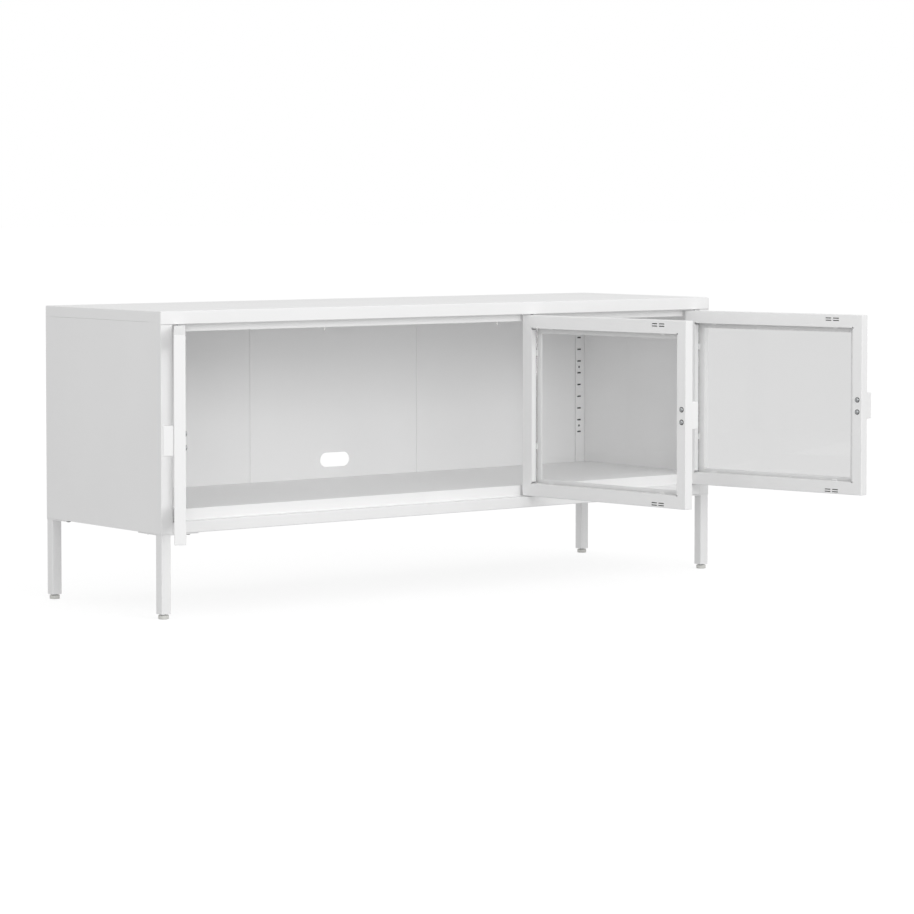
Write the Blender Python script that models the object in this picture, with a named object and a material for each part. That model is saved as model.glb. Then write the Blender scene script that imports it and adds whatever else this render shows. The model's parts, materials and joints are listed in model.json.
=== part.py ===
"""A low sheet-steel TV stand on four legs, with three glazed doors standing open.

Lengths are in metres. The cabinet is drawn with X from its left side, Y from its front plane
and Z from the underside of its body. The empty "stand_origin" then carries everything to the
middle of the floor area that the stand covers with its doors open.
"""

import math

import bmesh
import bpy
from mathutils import Matrix, Vector

# Body
WIDTH = 1.320
DEPTH = 0.397
HEIGHT = 0.400
FLOOR = -0.1525
SHEET = 0.0012
GAP = 0.0003
LIP_BOTTOM = 0.3758
SIDE_LIP_BOTTOM = 0.380
TOP_RETURN = 0.042
STILE = 0.025
STILE_DEPTH = 0.0195
REAR_FLANGE = 0.028
STOP_Y = 0.0207
LEDGE_Z = 0.021
DECK_Z = 0.042
BASE_RETURN = 0.030
BACK_Y = 0.387
BACK_SEAMS = (0.457, 0.868)
BACK_EDGE = 0.0266
BACK_BOTTOM = 0.0015
BACK_TOP = 0.3980
SLOT_LOW = (0.6266, 0.064)
SLOT_HIGH = (0.698, 0.0924)
RAIL_BOTTOM = 0.362
RAIL_FLANGE = 0.018

# Shelf strips
STRIP_WIDTH = 0.0245
STRIP_BOTTOM = 0.046
STRIP_TOP = 0.358
STRIP_PITCH = 0.0249
STRIP_SLOTS = 9
FIRST_SLOT = 0.1058
STRIP_SLOT_SIZE = (0.010, 0.003)
STRIP_HOLES = (0.1183, 0.2428)
STRIP_HOLE_RADIUS = 0.0025

# Doors
CELL = (WIDTH - 2 * STILE) / 3
DOOR_GAP = 0.0015
DOOR_WIDTH = CELL - 2 * DOOR_GAP
DOOR_BOTTOM = 0.0225
DOOR_TOP = 0.374
DOOR_DEPTH = 0.020
FACE_MARGIN = 0.036
WINDOW_BOTTOM = 0.0555
WINDOW_TOP = 0.339
INNER_FLANGE = 0.025
FREE_FLANGE = 0.0214
PANE_EDGE = 0.0229
PANE_THICKNESS = 0.004
PIN_FROM_EDGE = 0.011
PIN_FROM_FACE = 0.005
PIN_RADIUS = 0.0025
PIN_REACH = 0.009
HANDLE_FROM_EDGE = 0.0100
HANDLE_SIZE = (0.016, 0.018, 0.051)
HANDLE_Z = 0.197
HANDLE_SCREW_PITCH = 0.0236
SCREW_HEAD = (0.005, 0.0024)

# Legs
LEG_SIDE = 0.020
LEG_INSET = 0.0005
LEG_CORNER = 0.002
LEG_WALL = 0.0015
LEG_BOTTOM = -0.1434
PLATE = 0.0018
PLATE_WIDTH = 0.026
PLATE_REACH_FRONT = 0.082
PLATE_REACH_REAR = 0.066
BOLT_BACK = 0.014
BOLT_INSET = 0.0165
BOLT_HEAD = (0.005, 0.003)
BOLT_SHANK = 0.003
BOLT_HOLE = 0.0035
PLUG_DEPTH = 0.012
STEM_RADIUS = 0.004
STEM_HOLE = 0.0046
FOOT_RADIUS = 0.0095
FOOT_HEIGHT = 0.006
FOOT_TRAVEL = 0.010

# Each door: name, hinge edge, direction from the hinge to the free edge, opening angle
DOORS = (
    ("left", STILE + DOOR_GAP, 1, 123.2),
    ("middle", STILE + 2 * CELL - DOOR_GAP, -1, 96.9),
    ("right", STILE + 3 * CELL - DOOR_GAP, -1, 102.7),
)

# Corners: name, X edge, Y edge, direction inwards along X and along Y
CORNERS = (
    ("front_left", 0.0, 0.0, 1, 1),
    ("front_right", WIDTH, 0.0, -1, 1),
    ("rear_left", 0.0, DEPTH, 1, -1),
    ("rear_right", WIDTH, DEPTH, -1, -1),
)


def clear_scene():
    for obj in list(bpy.data.objects):
        bpy.data.objects.remove(obj, do_unlink=True)


def material(name, color, roughness, metallic=0.0, alpha=1.0):
    made = bpy.data.materials.new(name)
    made.use_nodes = True
    shader = made.node_tree.nodes["Principled BSDF"]
    shader.inputs["Base Color"].default_value = (*color, 1.0)
    shader.inputs["Roughness"].default_value = roughness
    shader.inputs["Metallic"].default_value = metallic
    shader.inputs["Alpha"].default_value = alpha
    return made


def empty(name, place, parent=None, turn=0.0):
    made = bpy.data.objects.new(name, None)
    made.location = place
    made.rotation_euler = (0.0, 0.0, turn)
    made.parent = parent
    bpy.context.scene.collection.objects.link(made)
    return made


def add_box(bm, low, high):
    """Adds a box between two opposite corners, given in any order."""
    low, high = Vector(map(min, low, high)), Vector(map(max, low, high))
    place = Matrix.Translation((low + high) / 2) @ Matrix.Diagonal((*(high - low), 1.0))
    return bmesh.ops.create_cube(bm, size=1.0, matrix=place)["verts"]


def add_disc_solid(bm, centre, radius, height, segments=20):
    """Adds an upright cylinder that stands on its centre point."""
    place = Matrix.Translation(Vector(centre) + Vector((0.0, 0.0, height / 2)))
    made = bmesh.ops.create_cone(
        bm,
        cap_ends=True,
        segments=segments,
        radius1=radius,
        radius2=radius,
        depth=height,
        matrix=place,
    )
    return made["verts"]


def add_outline(bm, points, axis, start, end):
    """Extrudes a closed outline along X or Z. The outline lies in YZ or in XY."""
    if axis == "X":
        corners = [bm.verts.new((start, a, b)) for a, b in points]
        move = Vector((end - start, 0.0, 0.0))
    else:
        corners = [bm.verts.new((a, b, start)) for a, b in points]
        move = Vector((0.0, 0.0, end - start))
    face = bm.faces.new(corners)
    extruded = bmesh.ops.extrude_face_region(bm, geom=[face])["geom"]
    moved = [item for item in extruded if isinstance(item, bmesh.types.BMVert)]
    bmesh.ops.translate(bm, verts=moved, vec=move)
    bmesh.ops.recalc_face_normals(bm, faces=bm.faces)


def solid(name, bm, look, parent, place=(0.0, 0.0, 0.0)):
    mesh = bpy.data.meshes.new(name)
    bm.to_mesh(mesh)
    bm.free()
    mesh.materials.append(look)
    made = bpy.data.objects.new(name, mesh)
    made.parent = parent
    made.location = place
    bpy.context.scene.collection.objects.link(made)
    return made


def smooth(obj, degrees=35.0):
    obj.data.shade_smooth()
    obj.data.set_sharp_from_angle(angle=math.radians(degrees))


def boolean(obj, bm, label, operation="DIFFERENCE"):
    """Cuts obj with a helper built in the same parent's frame, or joins the helper to it."""
    helper = solid(f"{obj.name}_{label}", bm, obj.data.materials[0], obj.parent, obj.location)
    helper.hide_render = True
    helper.display_type = "WIRE"
    change = obj.modifiers.new(label, "BOOLEAN")
    change.operation = operation
    change.solver = "EXACT"
    change.object = helper


def box(name, low, high, look, parent):
    bm = bmesh.new()
    add_box(bm, low, high)
    return solid(name, bm, look, parent)


def bolt_places():
    """The two bolts of each leg plate: one along the front or back edge, one along the side."""
    places = []
    for name, x_edge, y_edge, x_in, y_in in CORNERS:
        reach = (PLATE_REACH_FRONT if y_in > 0 else PLATE_REACH_REAR) - BOLT_BACK
        edge = (x_edge + x_in * reach, y_edge + y_in * (BOLT_INSET + 0.001))
        side = (x_edge + x_in * BOLT_INSET, y_edge + y_in * reach)
        places += [(f"{name}_edge", edge), (f"{name}_side", side)]
    return places


def build_top(look, root):
    """The top: one folded tray with a lip all round and a deep return behind the front lip."""
    bm = bmesh.new()
    add_box(bm, (0, 0, LIP_BOTTOM), (WIDTH, DEPTH, HEIGHT))
    top = solid("top_panel", bm, look, root)
    hollow = bmesh.new()
    inner = (WIDTH - SHEET, DEPTH - SHEET, HEIGHT - SHEET)
    add_box(hollow, (SHEET, SHEET, LIP_BOTTOM + SHEET), inner)
    boolean(top, hollow, "hollow")
    opening = bmesh.new()
    add_box(opening, (SHEET, TOP_RETURN, LIP_BOTTOM - SHEET), (WIDTH - SHEET, DEPTH - SHEET, 0.385))
    boolean(top, opening, "opening")
    for side, edge in (("left", -SHEET), ("right", WIDTH - SHEET - GAP)):
        step = bmesh.new()
        low = (edge, SHEET + GAP, LIP_BOTTOM - SHEET)
        add_box(step, low, (edge + 2 * SHEET + GAP, DEPTH + SHEET, SIDE_LIP_BOTTOM))
        boolean(top, step, f"{side}_step")
    return top


def build_side(name, x_edge, x_in, look, root):
    """A side: its front edge is folded into a stile, and its rear and bottom edges turn in."""

    def across(distance):
        return x_edge + x_in * distance

    outline = (
        (across(0), 0),
        (across(STILE), 0),
        (across(STILE), STILE_DEPTH),
        (across(STILE - SHEET), STILE_DEPTH),
        (across(STILE - SHEET), SHEET),
        (across(SHEET), SHEET),
        (across(SHEET), DEPTH - SHEET),
        (across(REAR_FLANGE), DEPTH - SHEET),
        (across(REAR_FLANGE), DEPTH),
        (across(0), DEPTH),
    )
    bm = bmesh.new()
    add_outline(bm, outline, "Z", 0.0, LIP_BOTTOM - GAP)
    panel = solid(name, bm, look, root)
    rise = bmesh.new()
    low = (across(0), SHEET + 2 * GAP, LIP_BOTTOM - SHEET)
    add_box(rise, low, (across(SHEET), DEPTH - GAP, SIDE_LIP_BOTTOM - GAP))
    boolean(panel, rise, "rise", "UNION")
    foot = bmesh.new()
    low = (across(SHEET / 2), BASE_RETURN + 0.001, 0)
    add_box(foot, low, (across(BASE_RETURN), DEPTH - BASE_RETURN - 0.002, SHEET))
    boolean(panel, foot, "foot", "UNION")
    holes = bmesh.new()
    for label, (x, y) in bolt_places():
        if label.endswith("side") and (x - WIDTH / 2) * (x_edge - WIDTH / 2) > 0:
            add_disc_solid(holes, (x, y, -SHEET), BOLT_HOLE, 3 * SHEET, 16)
    boolean(panel, holes, "bolt_holes")
    return panel


def build_bottom(look, root):
    """The bottom: fascia, door ledge, stop lip, shelf deck and rear apron in one folded sheet."""
    rear = BACK_Y - GAP
    outline = (
        (0, 0),
        (BASE_RETURN, 0),
        (BASE_RETURN, SHEET),
        (SHEET, SHEET),
        (SHEET, LEDGE_Z - SHEET),
        (STOP_Y + SHEET, LEDGE_Z - SHEET),
        (STOP_Y + SHEET, DECK_Z - SHEET),
        (rear - SHEET, DECK_Z - SHEET),
        (rear - SHEET, SHEET),
        (DEPTH - BASE_RETURN, SHEET),
        (DEPTH - BASE_RETURN, 0),
        (rear, 0),
        (rear, DECK_Z),
        (STOP_Y, DECK_Z),
        (STOP_Y, LEDGE_Z),
        (0, LEDGE_Z),
    )
    side = SHEET + GAP
    bm = bmesh.new()
    add_outline(bm, outline, "X", side, WIDTH - side)
    panel = solid("bottom_panel", bm, look, root)
    corners = bmesh.new()
    reach = STILE + GAP
    step_y, step_z = STOP_Y - GAP, LEDGE_Z - 2 * SHEET
    corner_back = BASE_RETURN + 2 * GAP
    outline = ((-SHEET, -SHEET), (corner_back, -SHEET), (corner_back, step_z))
    outline += ((step_y, step_z), (step_y, HEIGHT), (-SHEET, HEIGHT))
    for start, end in ((-SHEET, reach), (WIDTH - reach, WIDTH + SHEET)):
        add_outline(corners, outline, "X", start, end)
    boolean(panel, corners, "corners")
    notches = bmesh.new()
    for start, end in hinge_bays():
        add_box(notches, (start, STOP_Y - 2 * GAP, LEDGE_Z + GAP), (end, 0.027, DECK_Z + SHEET))
    boolean(panel, notches, "hinge_notches")
    holes = bmesh.new()
    for label, (x, y) in bolt_places():
        if label.endswith("edge"):
            add_disc_solid(holes, (x, y, -SHEET), BOLT_HOLE, 3 * SHEET, 16)
    boolean(panel, holes, "bolt_holes")
    return panel


def hinge_bays():
    """The stretches along X where a door's hinge corner swings past the stop lip."""
    bay = 0.028
    middle = STILE + 2 * CELL
    return (
        (STILE, STILE + bay),
        (middle - bay, middle + DOOR_GAP),
        (WIDTH - STILE - bay, WIDTH - STILE),
    )


def build_rails(look, root):
    """The two top rails that the closed doors rest against, between the hinge bays."""
    (_, first), (second, third), (fourth, _) = hinge_bays()
    for name, start, end in (("left", first, second), ("right", third, fourth)):
        outline = (
            (STOP_Y, RAIL_BOTTOM),
            (STOP_Y + SHEET, RAIL_BOTTOM),
            (STOP_Y + SHEET, LIP_BOTTOM - GAP - SHEET),
            (STOP_Y + RAIL_FLANGE, LIP_BOTTOM - GAP - SHEET),
            (STOP_Y + RAIL_FLANGE, LIP_BOTTOM - GAP),
            (STOP_Y, LIP_BOTTOM - GAP),
        )
        bm = bmesh.new()
        add_outline(bm, outline, "X", start + GAP, end - GAP)
        solid(f"top_rail_{name}", bm, look, root)


def build_back(look, root):
    """The back: three sheets side by side between the rear strips, their edges turned back."""
    turned = DEPTH - SHEET - 2 * GAP
    edges = (BACK_EDGE, *BACK_SEAMS, WIDTH - BACK_EDGE)
    for name, start, end in zip(("left", "centre", "right"), edges, edges[1:]):
        left, right = start + GAP / 2, end - GAP / 2
        outline = (
            (left, BACK_Y),
            (right, BACK_Y),
            (right, turned),
            (right - SHEET, turned),
            (right - SHEET, BACK_Y + SHEET),
            (left + SHEET, BACK_Y + SHEET),
            (left + SHEET, turned),
            (left, turned),
        )
        bm = bmesh.new()
        add_outline(bm, outline, "Z", BACK_BOTTOM, BACK_TOP)
        panel = solid(f"back_panel_{name}", bm, look, root)
        if name == "centre":
            boolean(panel, cable_slot(), "cable_slot")


def cable_slot():
    """A cutter with the long rounded outline of the cable slot."""
    bm = bmesh.new()
    low = (SLOT_LOW[0], BACK_Y - SHEET, SLOT_LOW[1])
    corners = add_box(bm, low, (SLOT_HIGH[0], BACK_Y + 2 * SHEET, SLOT_HIGH[1]))
    along = {edge for corner in corners for edge in corner.link_edges}
    along = [edge for edge in along if abs(edge.verts[0].co.y - edge.verts[1].co.y) > SHEET]
    bmesh.ops.bevel(bm, geom=along, offset=0.0138, segments=6, profile=0.5, affect="EDGES")
    return bm


def build_strips(look, root):
    """The four slotted strips in the corners, which would take the clips of a shelf. The rear
    two lie in the plane of the back, with a closed box behind them."""
    for name, x_edge, _, x_in, y_in in CORNERS:
        inside = x_edge + x_in * (SHEET + 2 * GAP)
        face, bottom, top = STOP_Y + SHEET + GAP, STRIP_BOTTOM, STRIP_TOP
        if y_in < 0:
            face, bottom, top = BACK_Y, BACK_BOTTOM, BACK_TOP
        bm = bmesh.new()
        far = inside + x_in * STRIP_WIDTH
        add_box(bm, (inside, face, bottom), (far, face + SHEET, top))
        strip = solid(f"shelf_strip_{name}", bm, look, root)
        slots = bmesh.new()
        middle = x_edge + x_in * 0.0165
        wide, tall = STRIP_SLOT_SIZE
        for count in range(STRIP_SLOTS):
            z = FIRST_SLOT + count * STRIP_PITCH
            low = (middle - wide / 2, face - SHEET, z - tall / 2)
            add_box(slots, low, (middle + wide / 2, face + 2 * SHEET, z + tall / 2))
        boolean(strip, slots, "slots")
        holes = bmesh.new()
        for z in STRIP_HOLES:
            hole = add_disc_solid(holes, (0, 0, 0), STRIP_HOLE_RADIUS, 4 * SHEET, 16)
            turn = Matrix.Rotation(math.radians(-90), 4, "X")
            place = Matrix.Translation((middle, face - SHEET, z)) @ turn
            bmesh.ops.transform(holes, matrix=place, verts=hole)
        boolean(strip, holes, "holes")


def build_pins(look, root):
    """The six fixed hinge pins, one in the ledge and one in the top return for each door."""
    for name, edge, away, _ in DOORS:
        x = edge + away * PIN_FROM_EDGE
        for end, z in (("lower", LEDGE_Z + GAP), ("upper", LIP_BOTTOM - GAP - PIN_REACH)):
            bm = bmesh.new()
            add_disc_solid(bm, (0, 0, 0), PIN_RADIUS, PIN_REACH, 24)
            pin = solid(f"{name}_hinge_pin_{end}", bm, look, root, (x, PIN_FROM_FACE, z))
            smooth(pin)


def build_bumpers(look, root):
    """Small soft tabs hung from the top rails, which quieten a closing door."""
    spots = (("left", 0.376), ("middle", 0.787), ("right", 0.944))
    for name, x in spots:
        low = (x - 0.0017, STOP_Y + SHEET + GAP, 0.355)
        high = (x + 0.0017, STOP_Y + SHEET + GAP + 0.003, LIP_BOTTOM - 2 * GAP - SHEET)
        bumper = box(f"door_bumper_{name}", low, high, look, root)
        edge = bumper.modifiers.new("soft_edges", "BEVEL")
        edge.width = 0.0005
        edge.segments = 1


def build_leg(corner, steel, plastic, pale, root):
    """A square tube welded under an L-shaped plate, with its plug and levelling foot."""
    name, x_edge, y_edge, x_in, y_in = corner
    reach = PLATE_REACH_FRONT if y_in > 0 else PLATE_REACH_REAR
    leg_root = empty(f"{name}_corner", (x_edge, y_edge, 0.0), root)

    def inward(x, y, z):
        return (x_in * x, y_in * y, z)

    near, far = LEG_INSET, LEG_INSET + LEG_SIDE
    centre = inward((near + far) / 2, (near + far) / 2, 0.0)
    bm = bmesh.new()
    corners = add_box(bm, inward(near, near, LEG_BOTTOM), inward(far, far, -GAP))
    along = {edge for vert in corners for edge in vert.link_edges}
    along = [edge for edge in along if abs(edge.verts[0].co.z - edge.verts[1].co.z) > LEG_SIDE]
    bmesh.ops.bevel(bm, geom=along, offset=LEG_CORNER, segments=4, profile=0.5, affect="EDGES")
    leg = solid(f"leg_{name}", bm, steel, leg_root)
    plate = bmesh.new()
    outline = ((near, near), (reach, near), (reach, PLATE_WIDTH), (PLATE_WIDTH, PLATE_WIDTH))
    outline += ((PLATE_WIDTH, reach), (near, reach))
    outline = [inward(x, y, 0.0)[:2] for x, y in outline]
    add_outline(plate, outline, "Z", -GAP - PLATE, -GAP)
    boolean(leg, plate, "plate", "UNION")
    bore = bmesh.new()
    low = inward(near + LEG_WALL, near + LEG_WALL, LEG_BOTTOM - PLATE)
    add_box(bore, low, inward(far - LEG_WALL, far - LEG_WALL, -0.003))
    boolean(leg, bore, "bore")
    holes = bmesh.new()
    for label, (x, y) in bolt_places():
        if label.startswith(name):
            add_disc_solid(holes, (x - x_edge, y - y_edge, -0.005), BOLT_HOLE, 0.01, 16)
    boolean(leg, holes, "bolt_holes")

    plug = bmesh.new()
    side = LEG_SIDE / 2 - LEG_WALL - GAP
    low = (centre[0] - side, centre[1] - side, LEG_BOTTOM + GAP)
    high = (centre[0] + side, centre[1] + side, LEG_BOTTOM + PLUG_DEPTH)
    add_box(plug, low, high)
    plug_obj = solid(f"leg_plug_{name}", plug, plastic, leg_root)
    thread = bmesh.new()
    add_disc_solid(thread, (centre[0], centre[1], LEG_BOTTOM - GAP), STEM_HOLE, 0.02, 24)
    boolean(plug_obj, thread, "thread")

    foot = bmesh.new()
    add_disc_solid(foot, (0, 0, 0), FOOT_RADIUS, FOOT_HEIGHT, 32)
    rims = [edge for edge in foot.edges if len(edge.link_faces) == 2]
    rims = [edge for edge in rims if abs(edge.verts[0].co.z - edge.verts[1].co.z) < GAP]
    bmesh.ops.bevel(foot, geom=rims, offset=0.0012, segments=2, profile=0.5, affect="EDGES")
    place = (centre[0], centre[1], FLOOR)
    foot_obj = solid(f"levelling_foot_{name}", foot, pale, leg_root, place)
    stem = bmesh.new()
    top = LEG_BOTTOM + PLUG_DEPTH + FOOT_TRAVEL - FLOOR
    add_disc_solid(stem, (0, 0, FOOT_HEIGHT / 2), STEM_RADIUS, top - FOOT_HEIGHT / 2, 24)
    boolean(foot_obj, stem, "stem", "UNION")


def build_bolts(look, root):
    """The eight dome-headed bolts that hold the leg plates to the body."""
    radius, thickness = BOLT_HEAD
    for label, (x, y) in bolt_places():
        bm = bmesh.new()
        under = -2 * GAP - PLATE - thickness
        head = add_disc_solid(bm, (0, 0, 0), radius, thickness, 20)
        low_rim = [edge for edge in bm.edges if all(vert.co.z < GAP for vert in edge.verts)]
        bmesh.ops.bevel(bm, geom=low_rim, offset=0.0016, segments=3, profile=0.5, affect="EDGES")
        bolt = solid(f"leg_bolt_{label}", bm, look, root, (x, y, under))
        shank = bmesh.new()
        add_disc_solid(shank, (0, 0, thickness / 2), BOLT_SHANK, 0.009, 16)
        boolean(bolt, shank, "shank", "UNION")
        smooth(bolt)


def build_door(door, looks, root):
    """A folded steel frame, its pane, its pull handle and the handle's two screws."""
    name, edge, away, angle = door
    steel, glass, chrome = looks
    pin_x = edge + away * PIN_FROM_EDGE
    pivot = empty(f"{name}_door_axis", (pin_x, PIN_FROM_FACE, 0.0), root)
    pivot.rotation_euler = (0.0, 0.0, math.radians(-away * angle))

    def at(along, inward, z):
        """A point given by its distance from the hinge edge and behind the outer face."""
        return (away * (along - PIN_FROM_EDGE), inward - PIN_FROM_FACE, z)

    bm = bmesh.new()
    add_box(bm, at(0, 0, DOOR_BOTTOM), at(DOOR_WIDTH, DOOR_DEPTH, DOOR_TOP))
    frame = solid(f"{name}_door_frame", bm, steel, pivot)
    window = bmesh.new()
    low = at(FACE_MARGIN, -SHEET, WINDOW_BOTTOM)
    add_box(window, low, at(DOOR_WIDTH - FACE_MARGIN, 0.002, WINDOW_TOP))
    boolean(frame, window, "window")
    fold = bmesh.new()
    low = at(SHEET, SHEET, DOOR_BOTTOM + SHEET)
    add_box(fold, low, at(DOOR_WIDTH - SHEET, DOOR_DEPTH - SHEET, DOOR_TOP - SHEET))
    boolean(frame, fold, "fold")
    back = bmesh.new()
    low = at(INNER_FLANGE, 0.018, DOOR_BOTTOM + INNER_FLANGE)
    add_box(back, low, at(DOOR_WIDTH - FREE_FLANGE, DOOR_DEPTH + SHEET, DOOR_TOP - INNER_FLANGE))
    boolean(frame, back, "inner_opening")
    holes = bmesh.new()
    for z in (DOOR_BOTTOM - SHEET, DOOR_TOP - 2 * SHEET):
        add_disc_solid(holes, (0, 0, z), PIN_RADIUS + GAP, 3 * SHEET, 24)
    handle_middle = DOOR_WIDTH - HANDLE_FROM_EDGE
    for z in (HANDLE_Z - HANDLE_SCREW_PITCH / 2, HANDLE_Z + HANDLE_SCREW_PITCH / 2):
        hole = add_disc_solid(holes, (0, 0, 0), 0.0023, DOOR_DEPTH + 4 * SHEET, 16)
        turn = Matrix.Rotation(math.radians(-90), 4, "X")
        place = Matrix.Translation(at(handle_middle, -2 * SHEET, z)) @ turn
        bmesh.ops.transform(holes, matrix=place, verts=hole)
    boolean(frame, holes, "holes")

    low = at(PANE_EDGE, SHEET + GAP, DOOR_BOTTOM + 0.020)
    high = (DOOR_WIDTH - PANE_EDGE, SHEET + GAP + PANE_THICKNESS, DOOR_TOP - 0.022)
    box(f"{name}_door_glass", low, at(*high), glass, pivot)

    wide, deep, tall = HANDLE_SIZE
    low = at(handle_middle - wide / 2, -GAP, HANDLE_Z - tall / 2)
    high = at(handle_middle + wide / 2, -deep, HANDLE_Z + tall / 2)
    handle = box(f"{name}_door_handle", low, high, steel, pivot)
    edges = handle.modifiers.new("eased_edges", "BEVEL")
    edges.width = 0.001
    edges.segments = 2

    radius, thickness = SCREW_HEAD
    for end, sign in (("lower", -1), ("upper", 1)):
        bm = bmesh.new()
        add_disc_solid(bm, (0, 0, 0), radius, thickness, 20)
        rim = [edge for edge in bm.edges if all(vert.co.z > GAP for vert in edge.verts)]
        bmesh.ops.bevel(bm, geom=rim, offset=0.0014, segments=3, profile=0.5, affect="EDGES")
        place = at(handle_middle, DOOR_DEPTH + GAP, HANDLE_Z + sign * HANDLE_SCREW_PITCH / 2)
        screw = solid(f"{name}_handle_screw_{end}", bm, chrome, pivot, place)
        shank = bmesh.new()
        add_disc_solid(shank, (0, 0, -DOOR_DEPTH), 0.0018, DOOR_DEPTH + thickness / 2, 12)
        boolean(screw, shank, "shank", "UNION")
        screw.rotation_euler = (math.radians(-90), 0.0, 0.0)
        screw.modifiers["shank"].object.rotation_euler = screw.rotation_euler
        smooth(screw)


def centre_on_floor(root):
    """Moves the root so that the open stand's box is centred on the origin, on the floor."""
    bpy.context.view_layer.update()
    graph = bpy.context.evaluated_depsgraph_get()
    points = []
    for obj in bpy.data.objects:
        if obj.type == "MESH" and not obj.hide_render:
            evaluated = obj.evaluated_get(graph)
            points += [obj.matrix_world @ vert.co for vert in evaluated.data.vertices]
    low = [min(point[i] for point in points) for i in range(3)]
    high = [max(point[i] for point in points) for i in range(3)]
    root.location = (-(low[0] + high[0]) / 2, -(low[1] + high[1]) / 2, -FLOOR)
    bpy.context.view_layer.update()
    print("stand_origin", [round(value, 6) for value in root.location])


def build():
    clear_scene()
    root = empty("stand_origin", (0.0, 0.0, 0.0))
    steel = material("white_powder_coat", (0.74, 0.74, 0.74), 0.45)
    zinc = material("dark_zinc", (0.18, 0.18, 0.18), 0.3, 1.0)
    plastic = material("white_plastic", (0.62, 0.62, 0.62), 0.5)
    pale = material("pale_foot_plastic", (0.7, 0.7, 0.68), 0.5)
    glass = material("clear_glass", (0.9, 0.93, 0.92), 0.05, 0.0, 0.3)
    build_top(steel, root)
    build_side("left_side_panel", 0.0, 1, steel, root)
    build_side("right_side_panel", WIDTH, -1, steel, root)
    build_bottom(steel, root)
    build_rails(steel, root)
    build_back(steel, root)
    build_strips(steel, root)
    build_pins(zinc, root)
    build_bumpers(plastic, root)
    build_bolts(zinc, root)
    for corner in CORNERS:
        build_leg(corner, steel, plastic, pale, root)
    for door in DOORS:
        build_door(door, (steel, glass, zinc), root)
    centre_on_floor(root)


build()
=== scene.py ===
import json
import math

import bmesh
import bpy
from mathutils import Matrix, Vector


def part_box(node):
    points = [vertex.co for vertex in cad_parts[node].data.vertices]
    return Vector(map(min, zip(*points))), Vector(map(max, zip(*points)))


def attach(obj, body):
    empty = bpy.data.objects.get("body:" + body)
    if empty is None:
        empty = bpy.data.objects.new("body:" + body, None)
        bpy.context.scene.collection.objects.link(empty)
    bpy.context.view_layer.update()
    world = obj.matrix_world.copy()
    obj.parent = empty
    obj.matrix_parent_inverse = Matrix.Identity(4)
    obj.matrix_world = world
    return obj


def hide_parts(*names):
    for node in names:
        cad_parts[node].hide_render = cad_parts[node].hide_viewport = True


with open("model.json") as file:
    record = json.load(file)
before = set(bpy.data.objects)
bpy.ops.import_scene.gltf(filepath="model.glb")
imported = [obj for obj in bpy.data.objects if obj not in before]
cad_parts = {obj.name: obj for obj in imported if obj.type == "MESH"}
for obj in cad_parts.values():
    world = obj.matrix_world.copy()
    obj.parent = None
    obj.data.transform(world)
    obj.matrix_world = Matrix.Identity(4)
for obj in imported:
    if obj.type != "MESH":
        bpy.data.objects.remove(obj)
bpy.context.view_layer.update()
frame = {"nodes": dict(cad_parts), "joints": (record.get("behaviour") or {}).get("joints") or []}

# ---------------------------------------------------------------------------------------------
# Base. One long sheet of 1.2 mm steel, folded into the fascia, the ledge that the doors stand
# over, the stop lip, the shelf deck and the rear apron, then powder coated white.
# ---------------------------------------------------------------------------------------------
MM = 0.001
SHEET = 1.2 * MM
BEND = 1.5 * MM
top_low, top_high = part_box("top_panel")
base_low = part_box("bottom_panel")[0]
BODY_CORNER = Vector((top_low.x, top_low.y, base_low.z))


def at(x, y, z):
    """A point from millimetres right of, behind and above the body's lower front left corner."""
    return BODY_CORNER + Vector((x, y, z)) * MM


def linear(code):
    """An sRGB hex colour as the linear RGBA that a shader takes."""
    parts = [int(code[i : i + 2], 16) / 255 for i in (1, 3, 5)]
    return (*[p / 12.92 if p <= 0.04045 else ((p + 0.055) / 1.055) ** 2.4 for p in parts], 1.0)


def add_node(tree, kind, links=(), **settings):
    """Adds a node. Settings set its inputs or its own properties, and links feed its inputs."""
    made = tree.nodes.new(kind)
    for key, value in settings.items():
        if hasattr(made, key):
            setattr(made, key, value)
        else:
            made.inputs[key.replace("_", " ")].default_value = value
    for source, name in links:
        tree.links.new(source, made.inputs[name])
    return made


def new_material(name, **shader):
    """A material with its Principled shader's sockets set."""
    made = bpy.data.materials.new(name)
    made.use_nodes = True
    principled = made.node_tree.nodes["Principled BSDF"]
    for key, value in shader.items():
        principled.inputs[key.replace("_", " ")].default_value = value
    return made, made.node_tree, principled


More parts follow.
